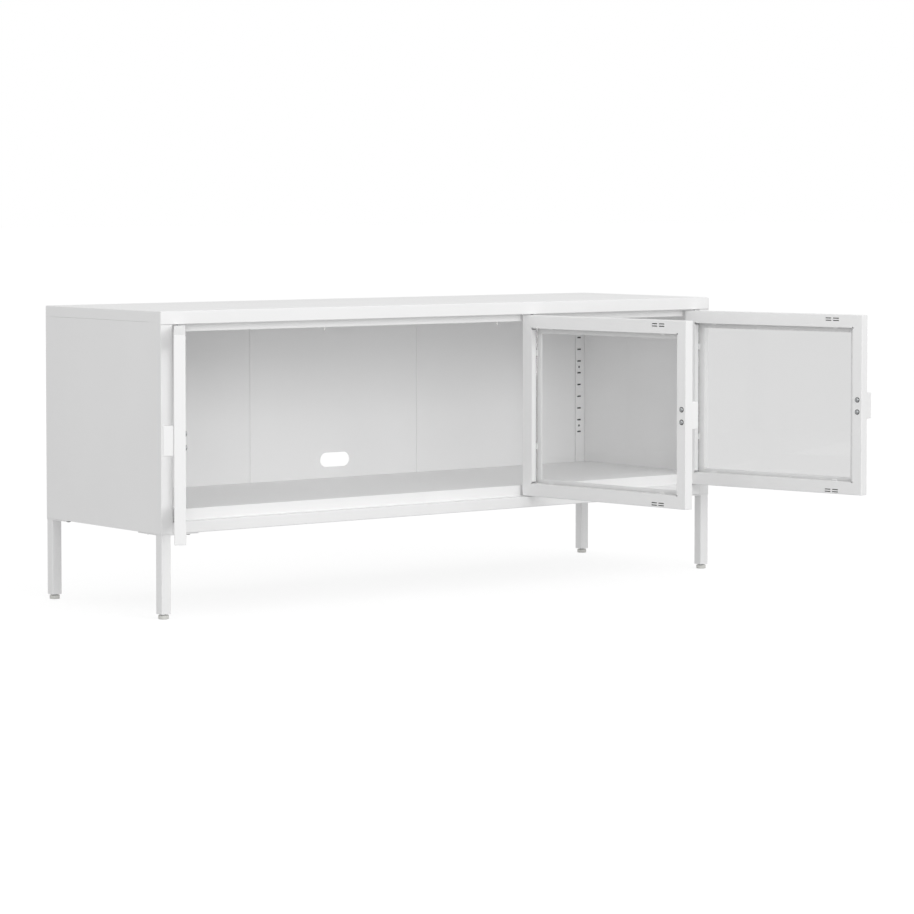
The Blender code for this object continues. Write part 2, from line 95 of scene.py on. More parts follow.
def powder_coat(name, code, roughness):
    """Polyester powder coat on steel: a satin skin with a fine orange peel and faint mottling."""
    made, tree, shader = new_material(name, Roughness=roughness, IOR=1.5)
    place = add_node(tree, "ShaderNodeTexCoord").outputs["Object"]
    # The real peel is about 0.6 mm across. It is drawn at 2 mm, so that it shows.
    peel = add_node(tree, "ShaderNodeTexNoise", [(place, "Vector")], Scale=500.0, Detail=2.0)
    bump = add_node(
        tree, "ShaderNodeBump", [(peel.outputs["Fac"], "Height")], Strength=0.05, Distance=0.0004
    )
    tree.links.new(bump.outputs["Normal"], shader.inputs["Normal"])
    # Where the spray laps, the film is a little thicker over stretches of 150 mm or so.
    lap = add_node(tree, "ShaderNodeTexNoise", [(place, "Vector")], Scale=6.5, Detail=3.0)
    tone = add_node(tree, "ShaderNodeValToRGB", [(lap.outputs["Fac"], "Fac")])
    tone.color_ramp.elements[0].position = 0.3
    tone.color_ramp.elements[1].position = 0.7
    base = linear(code)
    tone.color_ramp.elements[0].color = (*[c * 0.985 for c in base[:3]], 1.0)
    tone.color_ramp.elements[1].color = base
    tree.links.new(tone.outputs["Color"], shader.inputs["Base Color"])
    gloss = add_node(
        tree,
        "ShaderNodeMapRange",
        [(peel.outputs["Fac"], "Value")],
        To_Min=roughness - 0.04,
        To_Max=roughness + 0.04,
    )
    tree.links.new(gloss.outputs["Result"], shader.inputs["Roughness"])
    return made


def folded_sheet(outline, axis, start, end, outside, bend=BEND):
    """A sheet folded along parallel bends. The outline is its outer surface, seen along axis X, Y
    or Z, and outside is the direction that the first flat faces."""
    bm = bmesh.new()
    order = {"X": lambda a, b: (start, a, b), "Y": lambda a, b: (a, start, b)}
    order["Z"] = lambda a, b: (a, b, start)
    corners = [bm.verts.new(at(*order[axis](a, b))) for a, b in outline]
    lines = [bm.edges.new(pair) for pair in zip(corners, corners[1:])]
    pulled = bmesh.ops.extrude_edge_only(bm, edges=lines)["geom"]
    move = Vector([(end - start) * MM if letter == axis else 0.0 for letter in "XYZ"])
    moved = [item for item in pulled if isinstance(item, bmesh.types.BMVert)]
    bmesh.ops.translate(bm, verts=moved, vec=move)
    bm.normal_update()
    if lines[0].link_faces[0].normal.dot(Vector(outside)) < 0:
        bmesh.ops.reverse_faces(bm, faces=bm.faces)
    bends = [edge for edge in bm.edges if len(edge.link_faces) == 2]
    bmesh.ops.bevel(
        bm, geom=bends, offset=bend, segments=3, profile=0.5, affect="EDGES", material=-1
    )
    return bm


def add_box(bm, low, high):
    """Adds a box between two opposite corners, which may come in any order."""
    low, high = Vector(map(min, low, high)), Vector(map(max, low, high))
    place = Matrix.Translation((low + high) / 2) @ Matrix.Diagonal((*(high - low), 1.0))
    return bmesh.ops.create_cube(bm, size=1.0, matrix=place)["verts"]


def boxes(*pairs):
    """A mesh of separate boxes, each given by two corners in body millimetres."""
    bm = bmesh.new()
    for low, high in pairs:
        add_box(bm, at(*low), at(*high))
    return bm


def make(name, bm, material):
    """Makes an object of a finished bmesh."""
    mesh = bpy.data.meshes.new(name)
    bm.to_mesh(mesh)
    bm.free()
    mesh.materials.append(material)
    made = bpy.data.objects.new(name, mesh)
    bpy.context.scene.collection.objects.link(made)
    return made


def apply_modifiers(piece):
    """Turns what the piece's modifiers make into its own mesh."""
    bpy.context.view_layer.update()
    graph = bpy.context.evaluated_depsgraph_get()
    mesh = bpy.data.meshes.new_from_object(piece.evaluated_get(graph))
    piece.modifiers.clear()
    piece.data = mesh


def thicken(piece, thickness=SHEET):
    """Gives a folded surface its sheet thickness, inwards from the outer surface."""
    wall = piece.modifiers.new("sheet", "SOLIDIFY")
    wall.thickness = thickness
    wall.offset = -1.0
    wall.use_even_offset = True
    apply_modifiers(piece)


def combine(piece, bm, operation="DIFFERENCE"):
    """Cuts a shape from the piece, or joins it on."""
    tool = make(piece.name + "_tool", bm, piece.data.materials[0])
    change = piece.modifiers.new("combine", "BOOLEAN")
    change.object = tool
    change.operation = operation
    apply_modifiers(piece)
    bpy.data.objects.remove(tool)


def ease_edges(piece, width=0.25 * MM, segments=2, degrees=40.0):
    """Rounds the cut edges a little, as deburring and the coating do."""
    edge = piece.modifiers.new("eased", "BEVEL")
    edge.width = width
    edge.segments = segments
    edge.limit_method = "ANGLE"
    edge.angle_limit = math.radians(degrees)
    edge.use_clamp_overlap = True
    apply_modifiers(piece)


def finish_piece(piece, body, nodes=(), degrees=35.0):
    """Shades a finished piece, and says which body it rides on and which nodes it stands for."""
    piece.data.shade_smooth()
    piece.data.set_sharp_from_angle(angle=math.radians(degrees))
    flats = piece.modifiers.new("flat_faces_stay_flat", "WEIGHTED_NORMAL")
    flats.keep_sharp = True
    apply_modifiers(piece)
    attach(piece, body)
    if nodes:
        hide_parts(*nodes)


WHITE_COAT = powder_coat("white_powder_coated_steel", "#F7F7F7", 0.42)
# From here on, lengths without MM are in millimetres. W, D and H are the body's size.
W, D, H = (round(length / MM, 3) for length in top_high - BODY_CORNER)
FIT = 0.3
BASE_INSET = 1.5
STILE = 25.0
BAY = 28.0
BAY_BACK = 27.0
STOP_Y = 20.7
LEDGE_Z = 21.0
DECK_Z = 42.0
RETURN = 30.0
BACK_Y = 387.0
CORNER_NOTCH_Z = 18.7
CELL = (W - 2 * STILE) / 3
SECOND_HINGE = STILE + 2 * CELL
HINGE_BAYS = {
    "left": (STILE, STILE + BAY),
    "middle": (SECOND_HINGE - BAY, SECOND_HINGE + 1.5),
    "right": (W - STILE - BAY, W - STILE),
}

rear = BACK_Y - FIT
base_outline = (
    (RETURN, 0),
    (0, 0),
    (0, LEDGE_Z),
    (STOP_Y, LEDGE_Z),
    (STOP_Y, DECK_Z),
    (rear, DECK_Z),
    (rear, 0),
    (D - RETURN, 0),
)
surface = folded_sheet(base_outline, "X", BASE_INSET, W - BASE_INSET, (0, 0, -1))
base = make("base_tray", surface, WHITE_COAT)
thicken(base)
# The front corners are notched for the stiles, and the stop lip and deck for the hinge bays.
for start, end in ((-1.0, STILE + FIT), (W - STILE - FIT, W + 1.0)):
    combine(base, boxes(((start, -1, CORNER_NOTCH_Z - 0.1), (end, STOP_Y - FIT, 50))))
    combine(base, boxes(((start, -1, -1), (end, RETURN + 0.6, CORNER_NOTCH_Z))))
for start, end in HINGE_BAYS.values():
    combine(base, boxes(((start, STOP_Y - 0.6, LEDGE_Z + FIT), (end, BAY_BACK, DECK_Z + 1))))
ease_edges(base)
finish_piece(base, "cabinet", ["bottom_panel"])

# A small folded pocket closes each bay behind and below, so that no light comes up through it.
POCKET_SHEET = 1.0 * MM
for name, (start, end) in HINGE_BAYS.items():
    floor_z, wall_y = LEDGE_Z - 0.1, BAY_BACK + 0.2
    outline = ((STOP_Y - 0.5, floor_z), (wall_y, floor_z), (wall_y, DECK_Z - 0.2))
    surface = folded_sheet(outline, "X", start - 1, end + 1, (0, 0, 1), POCKET_SHEET)
    pocket = make(f"hinge_pocket_{name}", surface, WHITE_COAT)
    thicken(pocket, POCKET_SHEET)
    finish_piece(pocket, "cabinet")

# ---------------------------------------------------------------------------------------------
# Sides. Each is one sheet: the front edge is folded into a box-like stile that the outer doors
# close against, the rear edge turns in behind the back, and a foot flange carries the legs.
# ---------------------------------------------------------------------------------------------
WALL = SHEET / MM
LIP_BOTTOM = 375.8
SIDE_LIP_BOTTOM = 380.0
STILE_DEEP = 19.5
REAR_FLANGE = 28.0
GROOVE_START, GROOVE_END = 40.0, 365.0
SIDES = (("left", 0.0, 1), ("right", W, -1))
for name, edge, inwards in SIDES:
    stile, flange = edge + inwards * STILE, edge + inwards * REAR_FLANGE
    outline = ((stile, STILE_DEEP), (stile, 0), (edge, 0), (edge, D), (flange, D))
    surface = folded_sheet(outline, "Z", 0, SIDE_LIP_BOTTOM - FIT, (inwards, 0, 0))
    side = make(f"side_panel_{name}", surface, WHITE_COAT)
    thicken(side)
    # The top's front and rear lips hang lower than its side lips, so the stile and the rear flange
    # end lower than the side does.
    outer, inner, reach = edge - inwards, edge + inwards * WALL, edge + inwards * RETURN
    combine(side, boxes(((outer, -1, LIP_BOTTOM - FIT), (reach, 1.8, 390))))
    combine(side, boxes(((inner, 1.5, LIP_BOTTOM - FIT), (reach, D + 1, 390))))
    foot = boxes(((edge + inwards * 0.6, RETURN + 1, 0), (reach, D - RETURN - 2, WALL)))
    combine(side, foot, "UNION")
    # The groove under the top's side lip is closed at both ends.
    seam_ends = []
    for start, end in ((2.1, GROOVE_START), (GROOVE_END, D - 1)):
        seam_ends.append(((edge, start, 379), (inner, end, SIDE_LIP_BOTTOM + 0.2)))
    combine(side, boxes(*seam_ends), "UNION")
    ease_edges(side)
    finish_piece(side, "cabinet", [f"{name}_side_panel"])

# ---------------------------------------------------------------------------------------------
# Back. Three sheets stand side by side behind the deck, their edges folded back where they meet,
# so that two fine grooves run up the inside. The middle one has a stadium slot for the cables.
# ---------------------------------------------------------------------------------------------
SLOT_X, SLOT_Z, SLOT_ROUND = (626.6, 698), (64, 92.4), 13.9 * MM


def body_box(node_name):
    """A CAD node's two corners in body millimetres."""
    return [(corner - BODY_CORNER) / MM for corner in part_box(node_name)]


for name in ("left", "centre", "right"):
    low, high = body_box(f"back_panel_{name}")
    outline = ((low.x, high.y), (low.x, BACK_Y), (high.x, BACK_Y), (high.x, high.y))
    surface = folded_sheet(outline, "Z", low.z, high.z, (-1, 0, 0))
    panel = make(f"back_sheet_{name}", surface, WHITE_COAT)
    thicken(panel)
    if name == "centre":
        slot_tool = bmesh.new()
        low_corner = at(SLOT_X[0], BACK_Y - 2, SLOT_Z[0])
        corners = add_box(slot_tool, low_corner, at(SLOT_X[1], BACK_Y + 3, SLOT_Z[1]))
        across = {edge for vert in corners for edge in vert.link_edges}
        across = [e for e in across if abs(e.verts[0].co.y - e.verts[1].co.y) > MM]
        bmesh.ops.bevel(
            slot_tool,
            geom=across,
            offset=SLOT_ROUND,
            segments=10,
            profile=0.5,
            affect="EDGES",
            material=-1,
        )
        combine(panel, slot_tool)
    ease_edges(panel)
    finish_piece(panel, "cabinet", [f"back_panel_{name}"])

# ---------------------------------------------------------------------------------------------
# Shelf strips. Each is a flat steel strip punched with hook slots at 25 mm and two round holes.
# The rear two are spot-welded over steel channels whose black is painted shade, so that their
# slots look dark, and a coated flange closes each of them against the side.
# ---------------------------------------------------------------------------------------------


def plated(name, code, roughness):
    """Plated steel, or near-black steel that paints shade: a metal whose colour and gloss are
    faintly clouded.
    """
    made, tree, shader = new_material(name, Metallic=1.0, Roughness=roughness)
    place = add_node(tree, "ShaderNodeTexCoord").outputs["Object"]
    # The clouds of a plated finish are about 3 mm across.
    cloud = add_node(tree, "ShaderNodeTexNoise", [(place, "Vector")], Scale=350.0, Detail=3.0)
    tone = add_node(tree, "ShaderNodeValToRGB", [(cloud.outputs["Fac"], "Fac")])
    base = linear(code)
    tone.color_ramp.elements[0].color = (*[c * 0.8 for c in base[:3]], 1.0)
    tone.color_ramp.elements[1].color = base
    tree.links.new(tone.outputs["Color"], shader.inputs["Base Color"])
    dull = add_node(
        tree,
        "ShaderNodeMapRange",
        [(cloud.outputs["Fac"], "Value")],
        To_Min=roughness - 0.06,
        To_Max=roughness + 0.1,
    )
    tree.links.new(dull.outputs["Result"], shader.inputs["Roughness"])
    return made


# Near-black steel that paints shade: behind the rear strips' slots, behind the doors' slits and
# under the pull screws' heads.
SHADE_BLACK_STEEL = plated("blackened_spring_steel", "#1C1C1D", 0.5)
for corner in ("front_left", "front_right", "rear_left", "rear_right"):
    strip = frame["nodes"][f"shelf_strip_{corner}"]
    strip.data.materials.clear()
    strip.data.materials.append(WHITE_COAT)

CHANNEL_SHEET = 0.8 * MM
CHANNEL_NEAR, CHANNEL_FAR = 7.0, 25.4
CHANNEL_FRONT, CHANNEL_BACK = 388.5, 394.9
CHANNEL_LOW, CHANNEL_HIGH = 4, 396
FLANGE_FRONT, FLANGE_BACK = 388.3, 389.2
for name, edge, inwards in SIDES:
    near, far = edge + inwards * CHANNEL_NEAR, edge + inwards * CHANNEL_FAR
    outline = [(near, CHANNEL_FRONT), (near, CHANNEL_BACK)]
    outline += [(far, CHANNEL_BACK), (far, CHANNEL_FRONT)]
    surface = folded_sheet(
        outline, "Z", CHANNEL_LOW, CHANNEL_HIGH, (-inwards, 0, 0), CHANNEL_SHEET
    )
    # The channel's black is painted shade for the slots in front of it.
    channel = make(f"strip_channel_{name}", surface, SHADE_BLACK_STEEL)
    thicken(channel, CHANNEL_SHEET)
    finish_piece(channel, "cabinet")
    inner = edge + inwards * (WALL + 0.1)
    bm = boxes(((inner, FLANGE_FRONT, CHANNEL_LOW), (near, FLANGE_BACK, CHANNEL_HIGH)))
    flange = make(f"strip_flange_{name}", bm, WHITE_COAT)
    ease_edges(flange, 0.2 * MM, 1)
    finish_piece(flange, "cabinet")

# ---------------------------------------------------------------------------------------------
# Top. A shallow folded tray, with a lip all round that hides the edges of the sides and back.
# Behind the front lip the sheet returns as a wide flange, which carries the upper hinge pins.
# ---------------------------------------------------------------------------------------------
TOP_RETURN = 42.0
TOP_BEND = 1.8 * MM
bm = bmesh.new()
add_box(bm, at(0, 0, LIP_BOTTOM), at(W, D, H))
under = [face for face in bm.faces if face.normal.z < -0.5]
bmesh.ops.delete(bm, geom=under, context="FACES_ONLY")
front_edge = [
    e
    for e in bm.edges
    if all(abs(v.co.y - BODY_CORNER.y) < MM for v in e.verts)
    and all(v.co.z < at(0, 0, SIDE_LIP_BOTTOM).z for v in e.verts)
]
pulled = bmesh.ops.extrude_edge_only(bm, edges=front_edge)["geom"]
moved = [item for item in pulled if isinstance(item, bmesh.types.BMVert)]
bmesh.ops.translate(bm, verts=moved, vec=(0, TOP_RETURN * MM, 0))
bends = [e for e in bm.edges if len(e.link_faces) == 2]
bmesh.ops.bevel(
    bm, geom=bends, offset=TOP_BEND, segments=4, profile=0.5, affect="EDGES", material=-1
)
top = make("top_tray", bm, WHITE_COAT)
thicken(top)
# The side lips are shorter than the front one, and end above the sides.
for start, end in ((-1.0, 1.5), (W - 1.5, W + 1.0)):
    combine(top, boxes(((start, 1.5, 370), (end, D + 1, SIDE_LIP_BOTTOM))))
ease_edges(top)
finish_piece(top, "cabinet", ["top_panel"])

# ---------------------------------------------------------------------------------------------
# Top rails. Two small angles under the top's return, which the closed doors come to rest on.
# They stop short of the hinge corners. Soft tabs hang behind them to quieten the doors.
# ---------------------------------------------------------------------------------------------
for name in ("left", "right"):
    low, high = body_box(f"top_rail_{name}")
    outline = ((low.y, low.z), (low.y, high.z), (high.y, high.z))
    surface = folded_sheet(outline, "X", low.x, high.x, (0, -1, 0))
    rail = make(f"stop_rail_{name}", surface, WHITE_COAT)
    thicken(rail)
    ease_edges(rail)
    finish_piece(rail, "cabinet", [f"top_rail_{name}"])


def moulded(name, code, roughness, grain_mm):
    """Injection-moulded plastic: an even colour under a fine spark-eroded grain."""
    made, tree, shader = new_material(name, Roughness=roughness, IOR=1.46)
    place = add_node(tree, "ShaderNodeTexCoord").outputs["Object"]
    # The real grain is near 0.1 mm. It is drawn coarser than that, so that it shows.
    grain = add_node(
        tree, "ShaderNodeTexNoise", [(place, "Vector")], Scale=1000 / grain_mm, Detail=2.0
    )
    bump = add_node(
        tree, "ShaderNodeBump", [(grain.outputs["Fac"], "Height")], Strength=0.15, Distance=0.0001
    )
    tree.links.new(bump.outputs["Normal"], shader.inputs["Normal"])
    base = linear(code)
    tone = add_node(tree, "ShaderNodeValToRGB", [(grain.outputs["Fac"], "Fac")])
    tone.color_ramp.elements[0].color = (*[c * 0.96 for c in base[:3]], 1.0)
    tone.color_ramp.elements[1].color = base
    tree.links.new(tone.outputs["Color"], shader.inputs["Base Color"])
    return made


WHITE_ABS = moulded("white_abs", "#E2E2E0", 0.5, 0.8)
for name in ("left", "middle", "right"):
    node_name = f"door_bumper_{name}"
    low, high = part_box(node_name)
    bm = bmesh.new()
    add_box(bm, low, high)
    uprights = [e for e in bm.edges if abs(e.verts[0].co.z - e.verts[1].co.z) > 5 * MM]
    bmesh.ops.bevel(
        bm, geom=uprights, offset=1.0 * MM, segments=4, profile=0.5, affect="EDGES", material=-1
    )
    tab = make(f"soft_tab_{name}", bm, WHITE_ABS)
    ease_edges(tab, 0.4 * MM, 2)
    finish_piece(tab, "cabinet", [node_name])

# ---------------------------------------------------------------------------------------------
# Hinge pins. Plain turned steel pins, zinc plated, one standing in the ledge and one hanging
# from the top's return for each door, with a rounded end.
# ---------------------------------------------------------------------------------------------


def turned(profile, segments=32):
    """A solid of revolution about Z from (radius, height) pairs in millimetres, top to bottom."""
    bm = bmesh.new()
    points = [bm.verts.new((radius * MM, 0.0, height * MM)) for radius, height in profile]
    lines = [bm.edges.new(pair) for pair in zip(points, points[1:])]
    bmesh.ops.spin(
        bm,
        geom=points + lines,
        cent=(0, 0, 0),
        axis=(0, 0, 1),
        angle=math.tau,
        steps=segments,
        use_merge=True,
    )
    bmesh.ops.remove_doubles(bm, verts=bm.verts, dist=0.001 * MM)
    bmesh.ops.recalc_face_normals(bm, faces=bm.faces)
    return bm


def arc(radius, height, corner_radius, start, end, steps=4):
    """Profile points on a quarter round, from angle start to angle end in degrees."""
    for count in range(steps + 1):
        angle = math.radians(start + (end - start) * count / steps)
        yield radius + corner_radius * math.cos(angle), height + corner_radius * math.sin(angle)


BRIGHT_ZINC = plated("bright_zinc_plate", "#D4D6D8", 0.28)
DARK_ZINC = plated("dark_zinc_plate", "#8E9092", 0.2)
PIN_ROUND = 1.2
for node_name in [name for name in frame["nodes"] if "hinge_pin" in name]:
    low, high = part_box(node_name)
    radius, tall = (high.x - low.x) / 2 / MM, (high.z - low.z) / MM
    crown = arc(radius - PIN_ROUND, tall - PIN_ROUND, PIN_ROUND, 90, 0)
    bm = turned([(0, tall), *crown, (radius, 0), (0, 0)])
    if "upper" in node_name:
        bmesh.ops.rotate(bm, verts=bm.verts, cent=(0, 0, 0), matrix=Matrix.Rotation(math.pi, 3, "X"))
    foot_z = high.z if "upper" in node_name else low.z
    place = Vector(((low.x + high.x) / 2, (low.y + high.y) / 2, foot_z))
    bmesh.ops.translate(bm, verts=bm.verts, vec=place)
    pin = make(node_name + "_turned", bm, DARK_ZINC)
    finish_piece(pin, "cabinet", [node_name])

# ---------------------------------------------------------------------------------------------
# Legs. Square steel tube welded under an L-shaped plate, powder coated like the body. Two dome
# bolts with a hexagon socket go up through each plate into the folded edges of the body.
# ---------------------------------------------------------------------------------------------
LEG_CORNERS = {
    "front_left": (0.0, 0.0, 1, 1),
    "front_right": (W, 0.0, -1, 1),
    "rear_left": (0.0, D, 1, -1),
    "rear_right": (W, D, -1, -1),
}
LEG_NEAR, LEG_FAR, LEG_WALL = 0.5, 20.5, 1.5
LEG_ROUND = 2.2 * MM
PLATE_TOP = -FIT
PLATE_WIDE, PLATE_THICK, PLATE_ROUND = 26.0, 1.8, 5 * MM
for name, (edge_x, edge_y, in_x, in_y) in LEG_CORNERS.items():
    low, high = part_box(f"leg_{name}")
    reach = (high.x - low.x) / MM + LEG_NEAR
    foot_z = (low.z - BODY_CORNER.z) / MM

    def corner(x, y, z):
        return at(edge_x + in_x * x, edge_y + in_y * y, z)

    bm = bmesh.new()
    verts = add_box(bm, corner(LEG_NEAR, LEG_NEAR, foot_z), corner(LEG_FAR, LEG_FAR, PLATE_TOP))
    uprights = {edge for vert in verts for edge in vert.link_edges}
    uprights = [e for e in uprights if abs(e.verts[0].co.z - e.verts[1].co.z) > 50 * MM]
    bmesh.ops.bevel(
        bm, geom=uprights, offset=LEG_ROUND, segments=6, profile=0.5, affect="EDGES", material=-1
    )
    leg = make(f"square_leg_{name}", bm, WHITE_COAT)
    plate = bmesh.new()
    outline = [(LEG_NEAR, LEG_NEAR), (reach, LEG_NEAR), (reach, PLATE_WIDE)]
    outline += [(PLATE_WIDE, PLATE_WIDE), (PLATE_WIDE, reach), (LEG_NEAR, reach)]
    corners = [plate.verts.new(corner(x, y, PLATE_TOP - PLATE_THICK)) for x, y in outline]
    flat = plate.faces.new(corners)
    raised = bmesh.ops.extrude_face_region(plate, geom=[flat])["geom"]
    raised = [item for item in raised if isinstance(item, bmesh.types.BMVert)]
    bmesh.ops.translate(plate, verts=raised, vec=(0, 0, PLATE_THICK * MM))
    bmesh.ops.recalc_face_normals(plate, faces=plate.faces)
    # The corners at the ends of the plate's two arms are the ones farthest from the leg.
    far = 0.85 * reach * MM
    ends = [
        e
        for e in plate.edges
        if abs(e.verts[0].co.z - e.verts[1].co.z) > MM
        and (e.verts[0].co - corner(0, 0, 0)).xy.length > far
    ]
    bmesh.ops.bevel(
        plate, geom=ends, offset=PLATE_ROUND, segments=5, profile=0.5, affect="EDGES", material=-1
    )
    combine(leg, plate, "UNION")
    bore = bmesh.new()
    inner_near, inner_far = LEG_NEAR + LEG_WALL, LEG_FAR - LEG_WALL
    # The tube is hollow up to 3 mm below the body.
    add_box(bore, corner(inner_near, inner_near, foot_z - 2), corner(inner_far, inner_far, -3))
    combine(leg, bore)
    ease_edges(leg)
    finish_piece(leg, "cabinet", [f"leg_{name}"])
    plug = frame["nodes"][f"leg_plug_{name}"]
    plug.data.materials.clear()
    plug.data.materials.append(WHITE_ABS)


def dome_head(name, material, radius, tall, recess, across, depth):
    """A domed screw head standing on Z 0, with a hexagon or a cross recess in its crown."""
    rim, steps = 0.35, [math.radians(90 * count / 8) for count in range(9)]
    dome = [(radius * math.sin(a), rim + (tall - rim) * math.cos(a)) for a in steps]
    head = make(name, turned([*dome, (radius, 0), (0, 0)], 40), material)
    half = across * MM / 2
    if recess == "hexagon":
        tool = bmesh.new()
        bmesh.ops.create_cone(
            tool, cap_ends=True, segments=6, radius1=half, radius2=half, depth=2 * depth * MM
        )
        bmesh.ops.translate(tool, verts=tool.verts, vec=(0, 0, tall * MM))
        combine(head, tool)
        return head
    # The cross is cut one arm after the other, each 4.5 times as long as wide and tapering inwards.
    for long_x, long_y in ((half, half / 4.5), (half / 4.5, half)):
        tool = bmesh.new()
        size = Matrix.Diagonal((long_x, long_y, depth * MM, 1.0))
        place = Matrix.Translation((0, 0, tall * MM))
        verts = bmesh.ops.create_cube(tool, size=2.0, matrix=place @ size)["verts"]
        for vert in verts:
            if vert.co.z < tall * MM:
                vert.co.xy *= 0.55
        combine(head, tool)
    return head


BOLT_TALL, BOLT_KEY, BOLT_KEY_DEEP = 2.9, 4.6, 1.6
for node_name in [name for name in frame["nodes"] if name.startswith("leg_bolt")]:
    low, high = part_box(node_name)
    radius = (high.x - low.x) / 2 / MM
    name = node_name + "_head"
    bolt = dome_head(name, DARK_ZINC, radius, BOLT_TALL, "hexagon", BOLT_KEY, BOLT_KEY_DEEP)
    seat = Vector(((low.x + high.x) / 2, (low.y + high.y) / 2, low.z + BOLT_TALL * MM))
    place = Matrix.Translation(seat)
    bolt.data.transform(place @ Matrix.Rotation(math.pi, 4, "X"))
    ease_edges(bolt, 0.15 * MM, 2)
    finish_piece(bolt, "cabinet", [node_name])

# ---------------------------------------------------------------------------------------------
# Levelling feet. A pale moulded cup with a rounded tread, on a threaded steel stem that screws
# into the plug of the leg.
# ---------------------------------------------------------------------------------------------
PALE_NYLON = moulded("pale_nylon", "#DEDEDA", 0.48, 0.8)
THREAD_PITCH = 1.25
CUP_FLOOR, CUP_RIM = 5.0, 7.2
STEM_RADIUS, THREAD_ROOT = 4.0, 3.3
for name in LEG_CORNERS:
    node_name = f"levelling_foot_{name}"
    low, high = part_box(node_name)
    middle = Vector(((low.x + high.x) / 2, (low.y + high.y) / 2, low.z))
    radius = (high.x - low.x) / 2 / MM
    profile = [(0, CUP_FLOOR), (5.0, CUP_FLOOR), (5.6, CUP_RIM)]
    profile += [*arc(radius - 1, CUP_RIM - 1, 1, 90, 0), *arc(radius - 1.4, 1.4, 1.4, 0, -90)]
    profile += [(radius - 3, 0), (radius - 3.4, 0.5), (0, 0.5)]
    bm = turned(profile, 48)
    bmesh.ops.translate(bm, verts=bm.verts, vec=middle)
    tread = make(f"foot_base_{name}", bm, PALE_NYLON)
    finish_piece(tread, f"foot_{name}", [node_name])
    stem_top = (high.z - low.z) / MM
    profile = [(0, stem_top), (3.2, stem_top), (3.9, stem_top - 0.7)]
    turns = int((stem_top - 7.0) / THREAD_PITCH)
    for count in range(turns):
        z = stem_top - 0.9 - count * THREAD_PITCH
        profile.append((THREAD_ROOT, z - THREAD_PITCH * 0.35))
        profile.append((STEM_RADIUS, z - THREAD_PITCH * 0.85))
    profile += [(3.4, 6.3), (3.4, CUP_FLOOR - 0.2), (0, CUP_FLOOR - 0.2)]
    bm = turned(profile, 32)
    bmesh.ops.translate(bm, verts=bm.verts, vec=middle)
    stem = make(f"foot_stem_{name}", bm, BRIGHT_ZINC)
    finish_piece(stem, f"foot_{name}")

# ---------------------------------------------------------------------------------------------
# Door frames. Each is one steel blank folded into a shallow hollow frame: a 36 mm outer face, a
# 20 mm edge all round, and an inner flange with notched corners and lanced slots, which returns
# towards the glass. A near-black steel plate behind each pair of slots is painted shade, which
# makes the slots look dark.
# ---------------------------------------------------------------------------------------------
PIN_FROM_EDGE, PIN_FROM_FACE = 11.0, 5.0
DOOR_WIDE = CELL - 3.0
DOOR_DEEP = 20.0
DOOR_LOW, DOOR_HIGH = 22.5, 374.0
FACE_MARGIN = 36.0
WINDOW_LOW, WINDOW_HIGH = 55.5, 339.0
INNER_FLANGE, FREE_FLANGE = 25.0, 21.4
FLANGE_LOW, FLANGE_HIGH = DOOR_LOW + INNER_FLANGE, DOOR_HIGH - INNER_FLANGE
FREE_EDGE = DOOR_WIDE - FREE_FLANGE
DOOR_BEND = 1.3 * MM
RETURN_DEEP = 11.6
NOTCH = 1.6
LANCE_ROWS = ((26.6, 31.0), (362.4, 366.8))
LANCE_SPANS = ((336.0, 349.5), (353.0, 367.0))
SLIT, BRIDGE_RISE = 1.8, 0.5
SHADE_PLATE_SPAN, SHADE_PLATE_FRONT, SHADE_PLATE_BACK, SHADE_PLATE_HALF = (332, 371), 14.6, 18.2, 5.4


def door_place(joint):
    """The transform from a closed door's own frame, in metres, to where the open door stands."""
    sign = joint["axis"][2]
    pin = Vector((joint["pos_m"][0], joint["pos_m"][1], BODY_CORNER.z))
    turn = Matrix.Rotation(math.radians(-sign * joint["range_deg"][0]), 4, "Z")
    mirror = Matrix.Diagonal((-sign, 1.0, 1.0, 1.0))
    shift = Matrix.Translation((-PIN_FROM_EDGE * MM, -PIN_FROM_FACE * MM, 0.0))
    return Matrix.Translation(pin) @ turn @ mirror @ shift


def door_boxes(*pairs):
    """Boxes in a closed door's frame: along from the hinge edge, in from the face, and up."""
    bm = bmesh.new()
    for low, high in pairs:
        add_box(bm, Vector(low) * MM, Vector(high) * MM)
    return bm


def set_in_door(piece, joint, nodes=()):
    """Moves a piece from a closed door's frame to its place, and makes it ride on the door."""
    place = door_place(joint)
    piece.data.transform(place)
    if place.determinant() < 0:
        piece.data.flip_normals()
    finish_piece(piece, joint["child"], nodes)


